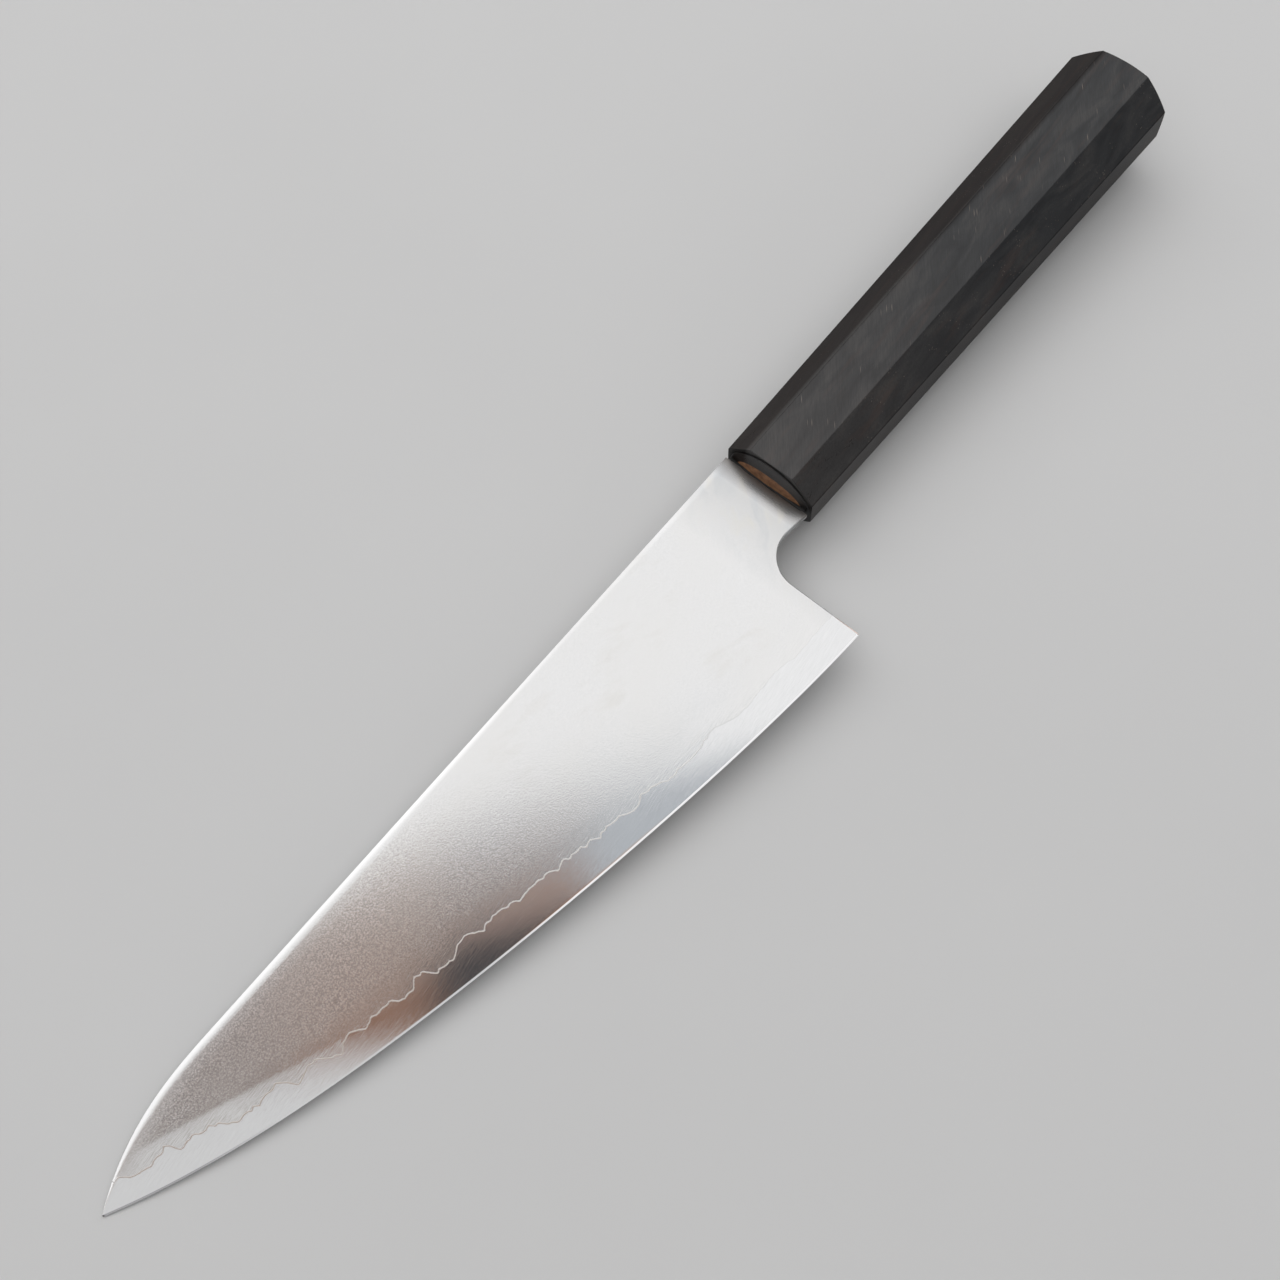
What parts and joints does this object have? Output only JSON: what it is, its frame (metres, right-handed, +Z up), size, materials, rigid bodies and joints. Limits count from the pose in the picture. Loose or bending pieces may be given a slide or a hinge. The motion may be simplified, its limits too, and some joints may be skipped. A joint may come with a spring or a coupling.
{
  "type": "chef knife",
  "caption": "Chef's knife with a laminated blade, curved choil and faceted one-piece wooden handle on a hidden tang, lying on its side on the handle's shoulder and the blade's tip.",
  "frame": {"origin": "centre of the knife's bounding box on the surface that it rests on", "axes": "+X from the butt towards the tip, +Y from the spine towards the cutting edge, +Z up, out of the blade's left face; the knife's own axis is tipped 2.6 degrees nose-down about Y, as it settles on a table"},
  "size_m": [0.3315, 0.049, 0.0263],
  "materials": {
    "core_steel": "ground satin, fine hairline scratches",
    "cladding_steel": "fine bead-blasted satin",
    "ebony": "sanded and oiled, low sheen, fine open pores",
    "plug_wood": "sanded end grain",
    "adhesive": "cured black resin, uneven bead"
  },
  "bodies": {
    "root": {"blade_core": "core_steel", "cladding_left": "cladding_steel", "cladding_right": "cladding_steel", "handle": "ebony", "tang_plug": "plug_wood", "tang_adhesive": "adhesive"}
  },
  "joints": []
}
